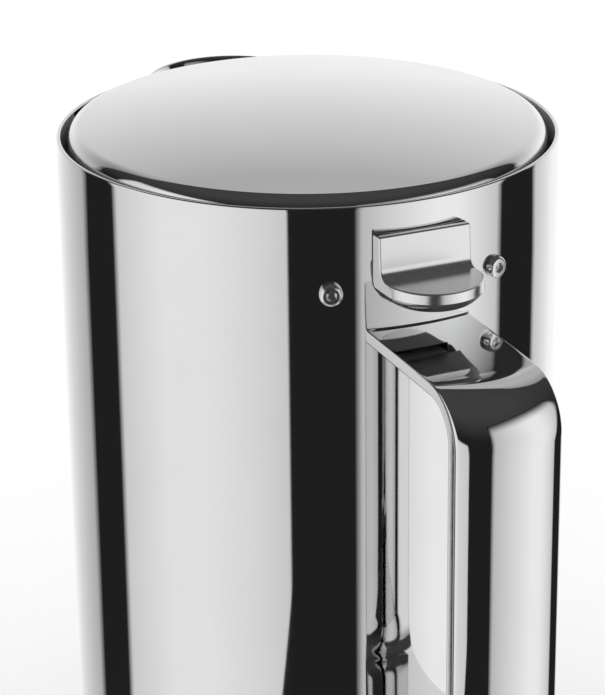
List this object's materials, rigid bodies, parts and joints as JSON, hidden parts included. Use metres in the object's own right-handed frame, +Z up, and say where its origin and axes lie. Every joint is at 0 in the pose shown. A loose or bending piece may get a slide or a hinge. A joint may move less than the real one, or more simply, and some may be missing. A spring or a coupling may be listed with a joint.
{
  "type": "insulated pouring pot",
  "caption": "Polished cylindrical insulated pot with pouring lip and strap handle; pressing the thumb lever above the handle tips up the hinged domed lid.",
  "frame": {"origin": "centre of the foot pad's underside, on the table", "axes": "+Z up along the pot's axis, +X towards the handle, so the pouring lip is at -X"},
  "size_m": [0.1872, 0.128, 0.2068],
  "materials": {
    "polished_steel": "mirror-polished stainless steel",
    "inner_steel": "satin stainless steel",
    "dark_plastic": "fine-grained moulded plastic",
    "rubber": "matt black rubber",
    "foam": "rigid insulating foam"
  },
  "bodies": {
    "pot": {"outer_shell": "polished_steel", "handle_strap": "polished_steel", "bracket_screws": "polished_steel", "bracket_nuts": "inner_steel", "hinge_bracket": "inner_steel", "hinge_pin": "inner_steel", "hinge_clips": "inner_steel", "lever_pin": "inner_steel", "lever_clips": "inner_steel", "lever_washers": "dark_plastic", "funnel_collar": "dark_plastic", "flask_inner": "inner_steel", "flask_outer": "inner_steel", "flask_gasket": "rubber", "flask_cushion": "rubber", "base_cover": "dark_plastic", "foot_pad": "rubber"},
    "lid": {"lid_dome": "polished_steel", "lid_pan": "dark_plastic", "lid_plug": "dark_plastic", "lid_foam": "foam", "plug_gasket": "rubber", "plug_screw": "inner_steel", "lid_lug": "inner_steel", "lug_screws": "inner_steel", "lift_pin": "inner_steel"},
    "lever": {"thumb_lever": "polished_steel"}
  },
  "joints": [
    {"name": "lid_hinge", "type": "hinge", "parent": "pot", "child": "lid", "pos_m": [0.0555, 0, 0.198], "axis": [0, 1, 0], "range_deg": [0, 29.4]},
    {"name": "lever_tilt", "type": "hinge", "parent": "pot", "child": "lever", "pos_m": [0.0588, 0, 0.1813], "axis": [0, 1, 0], "range_deg": [0, 14]}
  ],
  "couplings": [
    {"joint": "lever_tilt", "follows": "lid_hinge", "ratio": 0.476}
  ]
}
